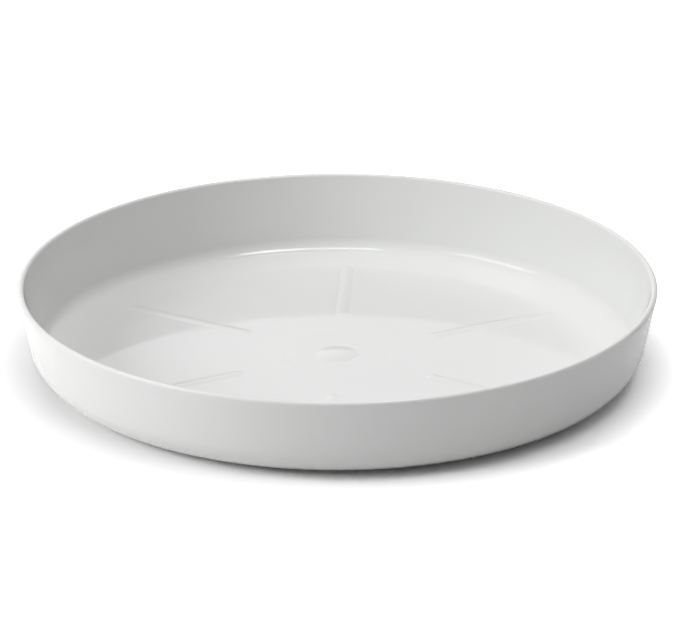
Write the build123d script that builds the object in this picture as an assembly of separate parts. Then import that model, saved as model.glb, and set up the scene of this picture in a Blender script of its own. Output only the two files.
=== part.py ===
"""Round plant saucer: one injection-moulded dish that stands under a flower pot and catches its run-off.

Millimetres, +Z up. The origin is on the dish's axis, in the plane that it stands on.
One section is turned into the dish, and the ribs that carry the pot are patterned on its floor.
"""
import os
from math import atan2, cos, degrees, hypot, radians, sqrt, tan

from build123d import *

# Rim and wall
rim_diameter = 250.0
height = 35.0
wall = 2.4
wall_lean = 11.4
corner_radius = 14.0
# Share of the wall that each edge of the rim is rounded by
rim_round_share = 0.48

# Floor: crowned, so that water runs outwards, with a band round it that rises to the wall's rounded corner
floor_thickness = 2.5
floor_crown = 0.9
band_width = 12.0
band_slope = 4.0
band_blend = 60.0

# Foot ring that the dish stands on, set in from the edge of the crowned floor
foot_height = 1.0
foot_inset = 5.0
foot_width = 3.0
foot_draft = 20.0
foot_edge = 0.4

# Radial ribs that hold the pot clear of the water; they run out on the rising band
rib_count = 6
rib_height = 0.3
rib_width = 5.6
rib_land = 1.6
rib_inner_radius = 41.0
rib_run_up = 3.0
rib_root_round = 10.0
rib_land_round = 8.0
first_rib_angle = 90.0

# Middle of the floor: a shallow recess with a ramped edge, a button over the moulding gate, its stub below
recess_diameter = 44.0
recess_depth = 0.06
recess_ramp = 1.2
button_diameter = 16.6
button_height = 0.65
gate_pocket_diameter = 12.0
gate_pocket_depth = 0.7
gate_stub_diameter = 2.6
gate_stub_length = 0.6

# How deep a rib is rooted in the floor
overrun = 0.5
# How near the floor an edge lies to count as on it
level_tolerance = 0.1

lean_run = tan(radians(wall_lean))
slope_rise = tan(radians(band_slope))
rim_round = wall * rim_round_share
wall_across = wall / cos(radians(wall_lean))
# The rim is widest on its rounding, a little inside the sharp edge that the wall's face would end in
sharp_rim_radius = rim_diameter / 2 + rim_round * (lean_run + 1 / cos(radians(wall_lean)) - 1)
floor_underside = foot_height
floor_top = floor_underside + floor_thickness
wall_base_radius = sharp_rim_radius - lean_run * (height - floor_underside)
corner_run = corner_radius * tan(radians(90 - wall_lean) / 2)
floor_radius = wall_base_radius - corner_run - band_width
band_start = floor_radius + band_blend * tan(radians(band_slope / 2))
rib_outer_radius = floor_radius + rib_run_up


def ball_radius(reach, rise):
    """Radius of the ball whose cap has this reach and this rise."""
    return (reach**2 + rise**2) / (2 * rise)


def crowned(edge_level, radius):
    """Point at a radius on a crown that comes down to edge_level where the band starts."""
    ball = ball_radius(band_start, floor_crown)
    return radius, edge_level + floor_crown - ball + sqrt(ball**2 - radius**2)


def crown_arc(edge_level, inner, outer):
    """Stretch of a crown between two radii."""
    ball = ball_radius(band_start, floor_crown)
    return RadiusArc(crowned(edge_level, inner), crowned(edge_level, outer), ball)


def wall_foot(rim_edge, edge_level):
    """The point where the wall's line, down from rim_edge, meets the line of the floor's rising band."""
    drop = height - edge_level + band_start * slope_rise
    radius = (rim_edge - lean_run * drop) / (1 - lean_run * slope_rise)
    return radius, edge_level + (radius - band_start) * slope_rise


def rounded(section, rounds):
    """The section with each named corner rounded by its own radius."""
    for corner, radius in rounds:
        vertex = section.vertices().sort_by_distance((*corner, 0))[0]
        section = fillet(vertex, radius)
    return section


def dish():
    """The dish without its ribs: a half section, radius along X and height along Y, turned about Z."""
    stub_radius = gate_stub_diameter / 2
    pocket_radius = gate_pocket_diameter / 2
    pocket_ceiling = crowned(floor_underside, 0)[1] + gate_pocket_depth
    stub_end = pocket_ceiling - gate_stub_length
    gate = Polyline(
        (0, stub_end),
        (stub_radius, stub_end),
        (stub_radius, pocket_ceiling),
        (pocket_radius, pocket_ceiling),
        crowned(floor_underside, pocket_radius),
    )

    flare = foot_height * tan(radians(foot_draft))
    ring_inner = floor_radius - foot_inset - foot_width / 2
    ring_outer = floor_radius - foot_inset + foot_width / 2
    foot_ring = Polyline(
        crowned(floor_underside, ring_inner - flare),
        (ring_inner, 0),
        (ring_outer, 0),
        crowned(floor_underside, ring_outer + flare),
    )

    outer_rim = (sharp_rim_radius, height)
    inner_rim = (sharp_rim_radius - wall_across, height)
    outer_foot = wall_foot(sharp_rim_radius, floor_underside)
    inner_foot = wall_foot(sharp_rim_radius - wall_across, floor_top)
    outer_break = crowned(floor_underside, band_start)
    inner_break = crowned(floor_top, band_start)
    side = Polyline(outer_break, outer_foot, outer_rim, inner_rim, inner_foot, inner_break)

    recess_radius = recess_diameter / 2
    button_radius = button_diameter / 2
    seat = crowned(floor_top, recess_radius)[1] - recess_depth
    recess_foot = (recess_radius - recess_ramp, seat)
    recess = Polyline(crowned(floor_top, recess_radius), recess_foot, (button_radius, seat))
    crown_of_button = (0, seat + button_height)
    button = RadiusArc(crown_of_button, (button_radius, seat), ball_radius(button_radius, button_height))

    section = make_face(
        [
            gate,
            crown_arc(floor_underside, pocket_radius, ring_inner - flare),
            foot_ring,
            crown_arc(floor_underside, ring_outer + flare, band_start),
            side,
            crown_arc(floor_top, recess_radius, band_start),
            recess,
            button,
            Line(crown_of_button, (0, stub_end)),
        ]
    )
    foot_round = min(foot_edge, foot_width / 4, foot_height / 2)
    rounds = (
        ((ring_inner, 0), foot_round),
        ((ring_outer, 0), foot_round),
        (outer_rim, rim_round),
        (inner_rim, rim_round),
        (outer_foot, corner_radius),
        (inner_foot, corner_radius - wall),
        (outer_break, band_blend + floor_thickness),
        (inner_break, band_blend),
    )
    return revolve(Plane.XZ * rounded(section, rounds), Axis.Z)


def rib():
    """One rib along X: a ridge with round ends and a rounded flat land, laid along the fall of the floor."""
    length = rib_outer_radius - rib_inner_radius
    middle, middle_level = crowned(floor_top, (rib_outer_radius + rib_inner_radius) / 2)
    drop = crowned(floor_top, rib_inner_radius)[1] - crowned(floor_top, rib_outer_radius)[1]
    narrowing = rib_width - rib_land
    spread = narrowing * overrun / rib_height
    base = Pos(0, 0, -overrun) * SlotOverall(length + spread, rib_width + spread)
    land = Pos(0, 0, rib_height) * SlotOverall(length - narrowing, rib_land)
    ridge = loft([base, land], ruled=True)
    ridge = fillet(ridge.faces().sort_by(Axis.Z)[-1].edges(), rib_land_round)
    return Pos(middle, 0, middle_level) * Rot(0, degrees(atan2(drop, length)), 0) * ridge


def with_ribs(body):
    """The dish with its ribs, rounded where they meet the floor."""
    for index in range(rib_count):
        body = body + Rot(0, 0, first_rib_angle + 360 * index / rib_count) * rib()
    roots = []
    for edge in body.edges():
        middle = edge.center()
        radius = hypot(middle.X, middle.Y)
        on_rib = rib_inner_radius - level_tolerance < radius < rib_outer_radius + level_tolerance
        if on_rib and abs(middle.Z - crowned(floor_top, radius)[1]) < level_tolerance:
            roots.append(edge)
    return fillet(roots, rib_root_round)


os.makedirs("parts", exist_ok=True)
export_step(with_ribs(dish()), "parts/saucer.step")
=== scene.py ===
"""Plant saucer in glossy moulded polypropylene, standing on a white table under soft studio light."""
from math import acos, asin, atan2, cos, hypot, pi, radians, sin, tan

import bpy
from bpy.props import FloatProperty, FloatVectorProperty, IntProperty, PointerProperty
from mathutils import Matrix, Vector


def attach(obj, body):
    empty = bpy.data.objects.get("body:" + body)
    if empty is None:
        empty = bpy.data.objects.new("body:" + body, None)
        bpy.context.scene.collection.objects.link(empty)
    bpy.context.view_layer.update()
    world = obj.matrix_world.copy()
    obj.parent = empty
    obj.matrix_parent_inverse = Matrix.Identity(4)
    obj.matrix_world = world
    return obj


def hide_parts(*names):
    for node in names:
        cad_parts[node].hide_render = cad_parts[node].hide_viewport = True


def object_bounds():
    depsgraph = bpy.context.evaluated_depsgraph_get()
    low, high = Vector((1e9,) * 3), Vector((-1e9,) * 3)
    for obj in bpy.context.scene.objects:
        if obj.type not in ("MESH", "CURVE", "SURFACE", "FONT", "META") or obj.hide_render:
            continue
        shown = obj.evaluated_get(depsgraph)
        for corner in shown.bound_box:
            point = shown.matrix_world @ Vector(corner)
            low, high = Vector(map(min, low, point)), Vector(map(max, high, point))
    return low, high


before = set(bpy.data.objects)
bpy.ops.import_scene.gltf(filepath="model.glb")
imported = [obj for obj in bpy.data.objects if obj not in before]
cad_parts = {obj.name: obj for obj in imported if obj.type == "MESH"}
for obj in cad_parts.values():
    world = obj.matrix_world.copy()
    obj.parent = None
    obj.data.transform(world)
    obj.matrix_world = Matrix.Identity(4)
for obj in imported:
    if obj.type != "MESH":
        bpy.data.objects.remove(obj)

bl_info = {
    "name": "Plant saucer",
    "version": (1, 0, 0),
    "blender": (4, 5, 0),
    "location": "View3D > Sidebar > Saucer",
    "description": "Models a round plant saucer and the white studio table that it stands on",
    "category": "Add Mesh",
}

CAD_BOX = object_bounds()
MM = 0.001
IMAGE_WIDTH_PX = 680
SENSOR_WIDTH_MM = 36.0

# Fineness of the meshes: steps of a turn, of a rib's round end and of the button, then rings on the floor's
# upper face and underside, and steps of an arc
TURN_STEPS = 240
RIB_END_STEPS = 24
DOME_STEPS = 8
FLOOR_RING = 3 * MM
UNDERSIDE_RING = 6 * MM
ARC_STEP = radians(4)
RIB_ARC_STEP = radians(1.5)
# Points nearer than this are one, and a rib's foot lies this far below the floor so that the skins cross
MERGE = 0.001 * MM
SINK = 0.003 * MM
# Share of the floor's thickness that a rib is rooted in
RIB_ROOT_SHARE = 1 / 3
# Faces that meet at less than this are shaded as one
SMOOTH_ANGLE = radians(40)

# Strip lamps below the ceiling, which leave streaks in the inner corner:
# name, watts, two ends in plan and width in metres
STRIPS = (
    ("strip_over_bright", 2.7, (0.235, 0.12), (0.235, 0.62), 0.22),
    ("strip_over_dim", 2.0, (-0.02, 0.12), (-0.02, 0.62), 0.29),
    ("strip_left", 6.0, (-1.04, -0.57), (-1.38, 0.34), 0.66),
)


def linear(hex_colour):
    """The linear RGBA of an sRGB colour written as six hex digits."""
    parts = [int(hex_colour[i:i + 2], 16) / 255 for i in (0, 2, 4)]
    return [p / 12.92 if p <= 0.04045 else ((p + 0.055) / 1.055) ** 2.4 for p in parts] + [1.0]


def number(name, description, value, **settings):
    """A number property with its default."""
    return FloatProperty(name=name, description=description, default=value, **settings)


def length(name, description, millimetres):
    """A length property with its default in millimetres."""
    return number(name, description, millimetres * MM, min=0, unit="LENGTH", precision=4)


def angle(name, description, degrees):
    """An angle property with its default in degrees."""
    return number(name, description, radians(degrees), subtype="ANGLE")


def colour(name, description, hex_colour):
    """A colour property with its default as sRGB hex digits."""
    return FloatVectorProperty(
        name=name, description=description, default=linear(hex_colour),
        size=4, min=0, max=1, subtype="COLOR",
    )


class SaucerSizes(bpy.types.PropertyGroup):
    """Sizes of the moulding."""

    rim_diameter: number("Rim diameter", "Width over the rim", CAD_BOX[1][0] - CAD_BOX[0][0], unit="LENGTH")
    height: number("Height", "Table to the top of the rim", CAD_BOX[1][2] - CAD_BOX[0][2], unit="LENGTH")
    wall: length("Wall", "Thickness of the side wall", 2.4)
    wall_lean: angle("Wall lean", "How far the wall leans outwards", 11.4)
    rim_round_share: number("Rim rounding", "Share of the wall that each edge of the rim is rounded by", 0.48)
    corner_radius: length("Corner radius", "Outer rounding between wall and floor", 14)
    inner_corner: length("Inner corner", "Inner rounding between wall and floor", 5.5)
    floor_thickness: length("Floor", "Thickness of the floor", 2.5)
    floor_crown: length("Crown", "Rise of the floor's middle over its edge", 0.9)
    band_width: length("Band width", "Edge of the crowned floor to the corner's rounding", 12)
    band_slope: angle("Band slope", "Rise of the band between the crowned floor and the corner", 4)
    band_blend: length("Band blend", "Radius that joins the crowned floor to the band", 60)
    foot_height: length("Foot height", "Height of the foot ring", 1)
    foot_inset: length("Foot inset", "Foot ring's middle to the edge of the crowned floor", 5)
    foot_width: length("Foot width", "Width of the foot ring's face", 3)
    foot_draft: angle("Foot draft", "Slope of the foot ring's sides", 20)
    foot_edge: length("Foot edge", "Rounding of the foot ring's edges", 0.4)
    rib_count: IntProperty(name="Ribs", description="How many ribs stand on the floor", default=6, min=1)
    rib_height: length("Rib height", "Height of a rib over the floor", 0.25)
    rib_width: length("Rib width", "Width of a rib at the floor, without its root rounding", 5.6)
    rib_land: length("Rib land", "Width of a rib's top, before rounding", 1.6)
    rib_inner_radius: length("Rib start", "Middle of the dish to a rib's inner end", 41)
    rib_run_up: length("Rib run-up", "How far a rib runs out on the rising band", 5)
    rib_land_round: length("Rib land rounding", "Rounding along a rib's land", 8)
    rib_root_round: length("Rib root rounding", "Rounding where a rib meets the floor", 10)
    recess_diameter: length("Recess", "Width of the shallow recess in the middle", 44)
    recess_depth: length("Recess depth", "Depth of the recess in the middle", 0.06)
    recess_ramp: length("Recess ramp", "Width of the sloping edge of the recess", 1.2)
    button_diameter: length("Button", "Width of the button over the gate", 16.6)
    button_height: length("Button height", "Height of the button over the recess", 0.65)
    button_blend: length("Button blend", "Rounding where the button meets the recess", 1.5)
    pocket_diameter: length("Gate pocket", "Width of the pocket under the button", 12)
    pocket_depth: length("Gate pocket depth", "Depth of the pocket under the button", 0.7)
    stub_diameter: length("Gate stub", "Width of the sprue's stub", 2.6)
    stub_length: length("Gate stub length", "Length of the sprue's stub", 0.6)
    mould_edge: length("Mould edge", "Rounding where the foot ring meets the underside", 0.3)
    pocket_edge: length("Pocket edge", "Rounding of the gate pocket's edges", 0.15)
    stub_edge: length("Stub edge", "Rounding of the end of the sprue's stub", 0.1)

    @property
    def rim_round(self):
        return self.wall * self.rim_round_share

    @property
    def sharp_rim_radius(self):
        return self.rim_diameter / 2 + self.rim_round * (tan(self.wall_lean) + 1 / cos(self.wall_lean) - 1)

    @property
    def floor_top(self):
        return self.foot_height + self.floor_thickness

    @property
    def floor_radius(self):
        wall_base = self.sharp_rim_radius - tan(self.wall_lean) * (self.height - self.foot_height)
        return wall_base - self.corner_radius * tan((pi / 2 - self.wall_lean) / 2) - self.band_width

    @property
    def band_start(self):
        return self.floor_radius + self.band_blend * tan(self.band_slope / 2)


class SaucerFinish(bpy.types.PropertyGroup):
    """Look of the plastic."""

    plastic: colour("Plastic", "Body colour of the polypropylene", "E4E5E3")
    plastic_flow: colour("Flow", "Colour where the melt flowed thinner", "E0E1E0")
    flow_size: length("Flow size", "Width of the patches that the flow leaves", 60)
    shrink_size: length("Shrink size", "Width of the waves that the shrinking melt leaves", 14)
    shrink_depth: length("Shrink depth", "Depth of those waves", 0.03)
    shrink_share: number("Shrink share", "How much of that depth the gloss shows", 0.2)
    roughness: number("Roughness", "Roughness of the polished mould face", 0.06)
    ior: number("IOR", "Refractive index of polypropylene", 1.5)


class StageLook(bpy.types.PropertyGroup):
    """Table, light and camera."""

    table: colour("Table", "Colour that the table throws back at the saucer", "E7E7E7")
    table_size: length("Table size", "Length of the table's sides", 8000)
    # Painted shade on the table: the camera sees it lifted less left of the saucer than right of it, and less
    # near the saucer than clear of it, so it shows darker there
    painted_shade_lift_left: number("Table lift left", "How much whiter the picture shows the table left of the saucer", 1.22)
    painted_shade_lift_right: number("Table lift right", "How much whiter the picture shows the table right of it", 2.0)
    painted_shade_lift_open: number("Open table lift", "How much whiter again it is shown clear of the saucer", 1.3)
    painted_shade_reach: number("Open table", "Rim radii from the middle at which the table is clear of the saucer", 1.6)
    lift_mirrored: number("Mirrored table lift", "How much whiter reflections show the table", 1.5)
    fill: number("Fill", "Strength of the light that comes from all round", 0.1)
    room: number("Room", "Brightness of the room, in reflections", 0.664)
    backdrop: number("Backdrop", "Brightness of the wall behind, in reflections", 1.08)
    backdrop_spread: angle("Backdrop spread", "How far the wall behind reaches to each side and up", 40)
    backdrop_core: number("Backdrop core", "Share of that spread in which the wall is at its brightest", 0.6)
    key_power: number("Key", "Power of the soft lamp on the left", 16.8, unit="POWER")
    key_azimuth: angle("Key azimuth", "Key lamp's turn from the saucer's front, anticlockwise", 290)
    key_elevation: angle("Key elevation", "Key lamp's angle above the table", 28)
    key_distance: length("Key distance", "Key lamp to the saucer", 1600)
    key_width: length("Key width", "Width of the key lamp", 1100)
    key_height: length("Key height", "Height of the key lamp", 600)
    top_power: number("Top", "Power of the soft lamp overhead", 19.9, unit="POWER")
    top_level: length("Top level", "Height of the soft lamp overhead", 1550)
    top_side: length("Top side", "How far the soft lamp overhead stands to the right", 140)
    top_width: length("Top width", "Width of the soft lamp overhead", 1450)
    top_depth: length("Top depth", "Depth of the soft lamp overhead", 2150)
    strip_level: length("Strip level", "Height of the strip lamps over the table", 1500)
    camera_distance: number("Distance", "Camera to the saucer", 1.968, unit="LENGTH")
    camera_elevation: angle("Elevation", "Camera's angle above the table", 21.98)
    camera_azimuth: angle("Azimuth", "Camera's turn from the saucer's front", 2.53)
    focal_px: number("Focal length", "In widths of a picture element", 5000)
    sight_level: length("Sight level", "Height on the saucer's axis that the distance is taken from", 1.62)
    aim_rise: length("Aim rise", "How far above that point the camera is aimed", 17.63)
    aim_side: length("Aim side", "How far to the right of that point the camera is aimed", 0.98)


def deselect_all():
    """Leaves edit mode and selects nothing, so that an operator touches only the new piece."""
    if bpy.context.object and bpy.context.object.mode != "OBJECT":
        bpy.ops.object.mode_set(mode="OBJECT")
    bpy.ops.object.select_all(action="DESELECT")


def rounded_outline(corners, arc_step=ARC_STEP):
    """Points of a flat outline from ((x, y), rounding radius) corners, with each rounding as an arc."""
    points = []
    for index, (corner, radius) in enumerate(corners):
        here = Vector(corner)
        if not radius:
            points.append(here)
            continue
        back = (Vector(corners[index - 1][0]) - here).normalized()
        ahead = (Vector(corners[index + 1][0]) - here).normalized()
        opening = acos(max(-1, min(1, back.dot(ahead))))
        centre = here + (back + ahead).normalized() * radius / sin(opening / 2)
        turn = pi - opening
        side = 1 if back.x * ahead.y - back.y * ahead.x > 0 else -1
        start = here + back * radius / tan(opening / 2) - centre
        count = max(2, round(turn / arc_step))
        for place in range(count + 1):
            swing = -side * turn * place / count
            across = start.x * cos(swing) - start.y * sin(swing)
            up = start.x * sin(swing) + start.y * cos(swing)
            points.append(centre + Vector((across, up)))
    return points


def draw_wire(name, points):
    """A new object in edit mode: one vertex, extruded along the points and left selected as a wire."""
    deselect_all()
    bpy.ops.mesh.primitive_plane_add(size=1, location=(0, 0, 0))
    piece = bpy.context.object
    piece.name = piece.data.name = name
    bpy.ops.object.mode_set(mode="EDIT")
    bpy.ops.mesh.select_all(action="SELECT")
    bpy.ops.mesh.merge(type="CENTER")
    bpy.ops.transform.translate(value=points[0])
    for here, ahead in zip(points, points[1:]):
        bpy.ops.mesh.extrude_vertices_move(TRANSFORM_OT_translate={"value": ahead - here})
    bpy.ops.mesh.select_all(action="SELECT")
    return piece


def wall_foot(s, rim_edge, floor_level):
    """Where the wall's line, down from rim_edge, meets the line of the floor's rising band."""
    drop = s.height - floor_level + s.band_start * tan(s.band_slope)
    radius = (rim_edge - tan(s.wall_lean) * drop) / (1 - tan(s.wall_lean) * tan(s.band_slope))
    return radius, floor_level + (radius - s.band_start) * tan(s.band_slope)


def level_run(start, end, level, spacing):
    """Corners without rounding along a level stretch of the section, evenly spaced between its ends."""
    count = max(2, round(abs(end - start) / spacing))
    return [((start + (end - start) * place / count, level), 0) for place in range(1, count)]


def dish_outline(s):
    """Half section of the dish before it is crowned: the button, over the rim, and back below to the axis."""
    underside = s.foot_height
    inner_rim = s.sharp_rim_radius - s.wall / cos(s.wall_lean)
    seat = s.floor_top - s.recess_depth
    recess = s.recess_diameter / 2
    button = s.button_diameter / 2
    ball = (button**2 + s.button_height**2) / (2 * s.button_height)
    dome_angle = asin(button / ball)
    dome = []
    for step in range(DOME_STEPS):
        swing = dome_angle * step / DOME_STEPS
        dome.append((ball * sin(swing), seat + s.button_height - ball * (1 - cos(swing))))
    flare = s.foot_height * tan(s.foot_draft)
    foot_in = s.floor_radius - s.foot_inset - s.foot_width / 2
    foot_out = foot_in + s.foot_width
    pocket = s.pocket_diameter / 2
    stub = s.stub_diameter / 2
    ceiling = underside + s.pocket_depth
    stub_end = ceiling - s.stub_length
    corners = [(point, 0) for point in dome] + [((button, seat), s.button_blend)]
    corners += [((recess - s.recess_ramp, seat), s.recess_ramp), ((recess, s.floor_top), s.recess_ramp)]
    corners += level_run(recess, s.floor_radius, s.floor_top, FLOOR_RING)
    corners += [
        ((s.band_start, s.floor_top), s.band_blend),
        (wall_foot(s, inner_rim, s.floor_top), s.inner_corner),
        ((inner_rim, s.height), s.rim_round),
        ((s.sharp_rim_radius, s.height), s.rim_round),
        (wall_foot(s, s.sharp_rim_radius, underside), s.corner_radius),
        ((s.band_start, underside), s.band_blend + s.floor_thickness),
        ((foot_out + flare, underside), s.mould_edge),
        ((foot_out, 0), s.foot_edge),
        ((foot_in, 0), s.foot_edge),
        ((foot_in - flare, underside), s.mould_edge),
    ]
    corners += level_run(foot_in - flare, pocket, underside, UNDERSIDE_RING)
    corners += [
        ((pocket, underside), s.pocket_edge),
        ((pocket, ceiling), s.pocket_edge),
        ((stub, ceiling), s.pocket_edge),
        ((stub, stub_end), s.stub_edge),
        ((0, stub_end), 0),
    ]
    return [Vector((point.x, 0, point.y)) for point in rounded_outline(corners)]


def spin_dish(s):
    """The turned dish: its half section spun about the axis, closed at the middle and facing outwards."""
    dish = draw_wire("saucer_moulding", dish_outline(s))
    bpy.ops.mesh.spin(steps=TURN_STEPS, angle=2 * pi, center=(0, 0, 0), axis=(0, 0, 1))
    bpy.ops.mesh.select_all(action="SELECT")
    bpy.ops.mesh.remove_doubles(threshold=MERGE)
    bpy.ops.mesh.normals_make_consistent(inside=False)
    bpy.ops.object.mode_set(mode="OBJECT")
    return dish


def model_ribs(s):
    """All the ribs as one object: a rib with round ends, closed below, and its copies round the dish."""
    flank = atan2(s.rib_height, (s.rib_width - s.rib_land) / 2)
    reach = s.rib_width / 2 + s.rib_root_round * tan(flank / 2)
    root = s.floor_top - s.floor_thickness * RIB_ROOT_SHARE
    corners = [
        ((0, s.floor_top + s.rib_height), 0),
        ((s.rib_land / 2, s.floor_top + s.rib_height), s.rib_land_round),
        ((s.rib_width / 2, s.floor_top), s.rib_root_round),
        ((reach, s.floor_top), 0),
        ((reach, root), 0),
    ]
    outer = s.floor_radius + s.rib_run_up - s.rib_width / 2
    inner = s.rib_inner_radius + s.rib_width / 2
    half = [Vector((point.x, outer, point.y - SINK)) for point in rounded_outline(corners, RIB_ARC_STEP)]
    ribs = draw_wire("saucer_ribs", half)
    bpy.ops.mesh.spin(steps=RIB_END_STEPS, angle=-pi, center=(0, outer, 0), axis=(0, 0, 1))
    select_where(lambda place: abs(place.y - outer) < MERGE)
    bpy.ops.mesh.extrude_edges_move(TRANSFORM_OT_translate={"value": (0, inner - outer, 0)})
    select_where(lambda place: abs(place.y - inner) < MERGE and place.x < MERGE)
    bpy.ops.mesh.spin(steps=RIB_END_STEPS, angle=-pi, center=(0, inner, 0), axis=(0, 0, 1))
    bpy.ops.mesh.select_all(action="SELECT")
    bpy.ops.mesh.remove_doubles(threshold=MERGE)
    select_where(lambda place: place.z < root)
    bpy.ops.mesh.edge_face_add()
    bpy.ops.mesh.select_all(action="SELECT")
    bpy.ops.mesh.normals_make_consistent(inside=False)
    bpy.ops.mesh.spin(
        steps=s.rib_count - 1, dupli=True, angle=2 * pi * (s.rib_count - 1) / s.rib_count,
        center=(0, 0, 0), axis=(0, 0, 1),
    )
    bpy.ops.object.mode_set(mode="OBJECT")
    return ribs


def crown_floor(s):
    """Lifts the floor's middle, ribs and all, into a low crown, while the foot ring stays on the table."""
    bpy.ops.object.mode_set(mode="EDIT")
    select_where(lambda place: place.z < s.foot_height - MERGE)
    bpy.ops.mesh.hide()
    select_where(lambda place: hypot(place.x, place.y) < MERGE)
    bpy.ops.transform.translate(
        value=(0, 0, s.floor_crown), use_proportional_edit=True,
        proportional_edit_falloff="INVERSE_SQUARE", proportional_size=s.band_start,
    )
    bpy.ops.mesh.reveal(select=False)
    bpy.ops.object.mode_set(mode="OBJECT")


def select_where(wanted):
    """In edit mode, selects the vertices whose place is wanted, and the edges between them."""
    bpy.ops.mesh.select_mode(type="VERT")
    bpy.ops.mesh.select_all(action="DESELECT")
    bpy.ops.object.mode_set(mode="OBJECT")
    for vertex in bpy.context.object.data.vertices:
        vertex.select = wanted(vertex.co)
    bpy.ops.object.mode_set(mode="EDIT")


def fuse(body, added):
    """Joins a closed piece to a closed body as one skin, and removes the piece."""
    deselect_all()
    body.select_set(True)
    bpy.context.view_layer.objects.active = body
    bpy.ops.object.modifier_add(type="BOOLEAN")
    joint = body.modifiers[-1]
    joint.operation = "UNION"
    joint.solver = "EXACT"
    joint.object = added
    bpy.ops.object.modifier_apply(modifier=joint.name)
    bpy.data.objects.remove(added)


def smooth(piece):
    """Smooth shading in which the large flat faces keep their own direction."""
    deselect_all()
    piece.select_set(True)
    bpy.context.view_layer.objects.active = piece
    bpy.ops.object.shade_smooth_by_angle(angle=SMOOTH_ANGLE)
    bpy.ops.object.modifier_add(type="WEIGHTED_NORMAL")
    weighting = piece.modifiers[-1]
    weighting.keep_sharp = True
    bpy.ops.object.modifier_apply(modifier=weighting.name)


def add_node(tree, kind, inputs, **settings):
    """A new node with its settings, each input set to a value or linked to another node's output."""
    made = tree.nodes.new(kind)
    for name, value in settings.items():
        setattr(made, name, value)
    for name, value in inputs.items():
        if isinstance(value, bpy.types.NodeSocket):
            tree.links.new(value, made.inputs[name])
        else:
            made.inputs[name].default_value = value
    return made


def new_material(name):
    """An empty node material."""
    material = bpy.data.materials.new(name)
    material.use_nodes = True
    material.node_tree.nodes.clear()
    return material


def polypropylene(finish):
    """Injection-moulded polypropylene from a polished mould."""
    # Near-white, faintly cool and glossy, with a sharp but slightly wavy reflection where the melt shrank
    material = new_material("moulded_polypropylene")
    tree = material.node_tree
    place = add_node(tree, "ShaderNodeTexCoord", {}).outputs["Object"]
    flow = add_node(
        tree,
        "ShaderNodeTexNoise",
        {"Vector": place, "Scale": 1 / finish.flow_size, "Detail": 2.0, "Roughness": 0.4},
    )
    tint = add_node(
        tree,
        "ShaderNodeMix",
        {"Factor": flow.outputs["Fac"], 6: finish.plastic, 7: finish.plastic_flow},
        data_type="RGBA",
    )
    shrink = add_node(
        tree,
        "ShaderNodeTexNoise",
        {"Vector": place, "Scale": 1 / finish.shrink_size, "Detail": 1.0, "Roughness": 0.3},
    )
    wave = add_node(
        tree,
        "ShaderNodeBump",
        {
            "Height": shrink.outputs["Fac"],
            "Strength": finish.shrink_share,
            "Distance": finish.shrink_depth,
        },
    )
    shader = add_node(
        tree,
        "ShaderNodeBsdfPrincipled",
        {
            "Base Color": tint.outputs[2],
            "Roughness": finish.roughness,
            "IOR": finish.ior,
            "Normal": wave.outputs["Normal"],
        },
    )
    add_node(tree, "ShaderNodeOutputMaterial", {"Surface": shader.outputs["BSDF"]})
    return material


class SAUCER_OT_moulding(bpy.types.Operator):
    """Model the saucer as one moulding"""

    bl_idname = "plant_saucer.moulding"
    bl_label = "Saucer"

    def execute(self, context):
        sizes = context.scene.saucer_sizes
        dish = spin_dish(sizes)
        fuse(dish, model_ribs(sizes))
        crown_floor(sizes)
        smooth(dish)
        dish.data.materials.append(polypropylene(context.scene.saucer_finish))
        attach(dish, "root")
        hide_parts("saucer")
        return {"FINISHED"}


def direction(azimuth, elevation):
    """Unit vector from the saucer, turned anticlockwise from its front and raised from the table."""
    return Vector((sin(azimuth) * cos(elevation), -cos(azimuth) * cos(elevation), sin(elevation)))


def add_lamp(name, power, place, width, depth, mirrored):
    """A rectangular lamp, turned to the saucer: it lights the scene or, if mirrored, only shows in the gloss."""
    deselect_all()
    bpy.ops.object.light_add(type="AREA", location=place)
    lamp = bpy.context.object
    lamp.name = lamp.data.name = name
    lamp.data.shape = "RECTANGLE"
    lamp.data.size = width
    lamp.data.size_y = depth
    lamp.data.energy = power
    lamp.rotation_euler = (-Vector(place)).to_track_quat("-Z", "Y").to_euler()
    lamp.visible_glossy = mirrored
    lamp.visible_diffuse = not mirrored
    return lamp


def add_strip(name, power, start, end, width, level):
    """A strip lamp below the ceiling, between two places in plan, that leaves a streak in the gloss."""
    along = Vector(end) - Vector(start)
    middle = (Vector(start) + Vector(end)) / 2
    lamp = add_lamp(name, power, (middle.x, middle.y, level), along.length, width, True)
    lamp.rotation_euler = (0, 0, atan2(along.y, along.x))


def ray_kinds(tree, *kinds):
    """A factor that is 1 for these kinds of rays and 0 for the others."""
    path = add_node(tree, "ShaderNodeLightPath", {})
    factor = path.outputs[kinds[0]]
    for kind in kinds[1:]:
        either = add_node(tree, "ShaderNodeMath", {0: factor, 1: path.outputs[kind]}, operation="MAXIMUM")
        factor = either.outputs[0]
    return factor


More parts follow.
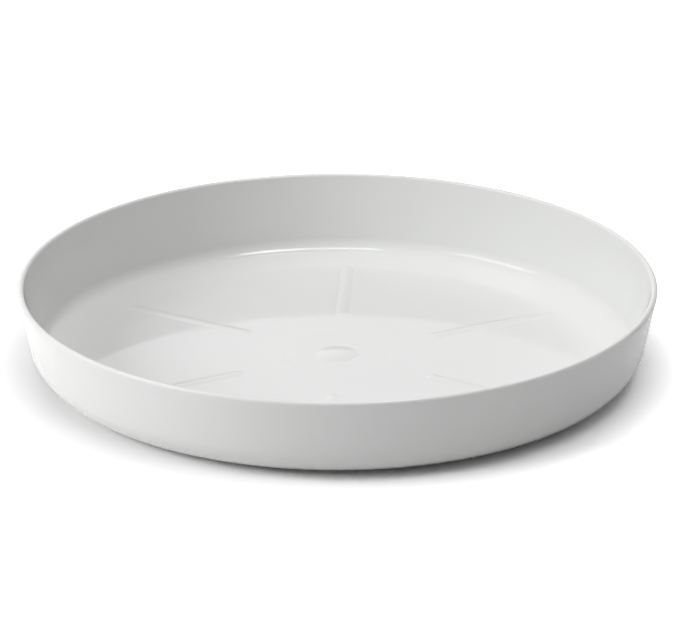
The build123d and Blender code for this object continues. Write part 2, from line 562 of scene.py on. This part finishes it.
def studio(look):
    """Dim light from all round. Reflections see a bright wall behind, and the camera sees white."""
    room = bpy.data.worlds.new("studio")
    room.use_nodes = True
    tree = room.node_tree
    tree.nodes.clear()
    toward = add_node(tree, "ShaderNodeTexCoord", {}).outputs["Generated"]
    behind = add_node(tree, "ShaderNodeVectorMath", {0: toward, 1: (0, 1, 0)}, operation="DOT_PRODUCT")
    wall = add_node(
        tree,
        "ShaderNodeMapRange",
        {
            "Value": behind.outputs["Value"],
            "From Min": cos(look.backdrop_spread),
            "From Max": cos(look.backdrop_spread * look.backdrop_core),
            "To Min": look.room,
            "To Max": look.backdrop,
        },
        interpolation_type="SMOOTHSTEP",
    )
    mirrored = ray_kinds(tree, "Is Glossy Ray", "Is Transmission Ray")
    light = add_node(
        tree, "ShaderNodeMapRange", {"Value": mirrored, "To Min": look.fill, "To Max": wall.outputs[0]}
    )
    seen = ray_kinds(tree, "Is Camera Ray")
    strength = add_node(
        tree, "ShaderNodeMapRange", {"Value": seen, "To Min": light.outputs[0], "To Max": 1.0}
    )
    glow = add_node(tree, "ShaderNodeBackground", {"Color": linear("FFFFFF"), "Strength": strength.outputs[0]})
    add_node(tree, "ShaderNodeOutputWorld", {"Surface": glow.outputs[0]})
    bpy.context.scene.world = room


def table_top(look):
    """A wide white table, which the camera and reflections see lifted to white where no shadow lies; for the
    camera the lift is smaller near the saucer and on its left, which paints shade there.
    """
    deselect_all()
    bpy.ops.mesh.primitive_plane_add(size=look.table_size, location=(0, 0, 0))
    table = bpy.context.object
    table.name = "table_top"
    material = new_material("white_table")
    tree = material.node_tree
    place = add_node(tree, "ShaderNodeTexCoord", {}).outputs["Object"]
    across = add_node(tree, "ShaderNodeSeparateXYZ", {"Vector": place}).outputs["X"]
    # Painted shade: the lift rises from the saucer's left to its right, so the table shows darker on the left
    # and the shadow on the right lighter
    white = add_node(
        tree,
        "ShaderNodeMapRange",
        {
            "Value": across,
            "From Min": CAD_BOX[0][0],
            "From Max": CAD_BOX[1][0],
            "To Min": look.painted_shade_lift_left,
            "To Max": look.painted_shade_lift_right,
        },
    )
    out = add_node(tree, "ShaderNodeVectorMath", {0: place}, operation="LENGTH").outputs["Value"]
    # Painted shade round the saucer: the lift is only full past the reach set on the stage, so the table near
    # the saucer shows darker
    clear = add_node(
        tree,
        "ShaderNodeMapRange",
        {
            "Value": out,
            "From Min": CAD_BOX[1][0],
            "From Max": CAD_BOX[1][0] * look.painted_shade_reach,
            "To Min": 1.0,
            "To Max": look.painted_shade_lift_open,
        },
    )
    white = add_node(
        tree, "ShaderNodeMath", {0: white.outputs[0], 1: clear.outputs[0]}, operation="MULTIPLY"
    )
    mirrored = ray_kinds(tree, "Is Glossy Ray", "Is Transmission Ray")
    lift = add_node(
        tree, "ShaderNodeMapRange", {"Value": mirrored, "To Min": 1.0, "To Max": look.lift_mirrored}
    )
    seen = ray_kinds(tree, "Is Camera Ray")
    lift = add_node(
        tree, "ShaderNodeMapRange", {"Value": seen, "To Min": lift.outputs[0], "To Max": white.outputs[0]}
    )
    tint = add_node(
        tree, "ShaderNodeVectorMath", {0: look.table[:3], "Scale": lift.outputs[0]}, operation="SCALE"
    )
    shader = add_node(tree, "ShaderNodeBsdfDiffuse", {"Color": tint.outputs["Vector"]})
    add_node(tree, "ShaderNodeOutputMaterial", {"Surface": shader.outputs[0]})
    table.data.materials.append(material)


def photo_camera(look):
    """Long-lens camera, aimed a little above the foot so that the saucer sits low in the picture."""
    back = direction(look.camera_azimuth, look.camera_elevation)
    right = Vector((cos(look.camera_azimuth), sin(look.camera_azimuth), 0))
    above = right.cross(-back).normalized()
    sight = Vector((0, 0, look.sight_level))
    aim = sight + above * look.aim_rise + right * look.aim_side
    data = bpy.data.cameras.new("photo_camera")
    data.sensor_width = SENSOR_WIDTH_MM
    data.sensor_fit = "HORIZONTAL"
    data.lens = look.focal_px * SENSOR_WIDTH_MM / IMAGE_WIDTH_PX
    camera = bpy.data.objects.new("photo_camera", data)
    bpy.context.collection.objects.link(camera)
    camera.location = sight + back * look.camera_distance
    camera.rotation_euler = (aim - camera.location).to_track_quat("-Z", "Y").to_euler()
    bpy.context.scene.camera = camera


class SAUCER_OT_stage(bpy.types.Operator):
    """Set the table, the light and the camera"""

    bl_idname = "plant_saucer.stage"
    bl_label = "Stage"

    def execute(self, context):
        look = context.scene.saucer_stage
        table_top(look)
        studio(look)
        key = direction(look.key_azimuth, look.key_elevation) * look.key_distance
        add_lamp("key_lamp", look.key_power, key, look.key_width, look.key_height, False)
        above = (look.top_side, 0, look.top_level)
        top = add_lamp("top_lamp", look.top_power, above, look.top_width, look.top_depth, False)
        top.rotation_euler = (0, 0, 0)
        for strip in STRIPS:
            add_strip(*strip, look.strip_level)
        photo_camera(look)
        context.scene.view_settings.view_transform = "Standard"
        return {"FINISHED"}


class SAUCER_PT_panel(bpy.types.Panel):
    """Sidebar panel with the sizes and the operators"""

    bl_label = "Plant saucer"
    bl_idname = "SAUCER_PT_panel"
    bl_space_type = "VIEW_3D"
    bl_region_type = "UI"
    bl_category = "Saucer"

    def draw(self, context):
        for group in (context.scene.saucer_sizes, context.scene.saucer_finish, context.scene.saucer_stage):
            box = self.layout.box()
            for name in group.__annotations__:
                box.prop(group, name)
        for operator in (SAUCER_OT_moulding, SAUCER_OT_stage):
            self.layout.operator(operator.bl_idname)


CLASSES = (SaucerSizes, SaucerFinish, StageLook, SAUCER_OT_moulding, SAUCER_OT_stage, SAUCER_PT_panel)


def register():
    for each in CLASSES:
        bpy.utils.register_class(each)
    bpy.types.Scene.saucer_sizes = PointerProperty(type=SaucerSizes)
    bpy.types.Scene.saucer_finish = PointerProperty(type=SaucerFinish)
    bpy.types.Scene.saucer_stage = PointerProperty(type=StageLook)


def unregister():
    del bpy.types.Scene.saucer_stage
    del bpy.types.Scene.saucer_finish
    del bpy.types.Scene.saucer_sizes
    for each in reversed(CLASSES):
        bpy.utils.unregister_class(each)


def main():
    """Builds the saucer and its stage."""
    register()
    bpy.ops.plant_saucer.moulding()
    bpy.ops.plant_saucer.stage()


if __name__ == "__main__":
    main()
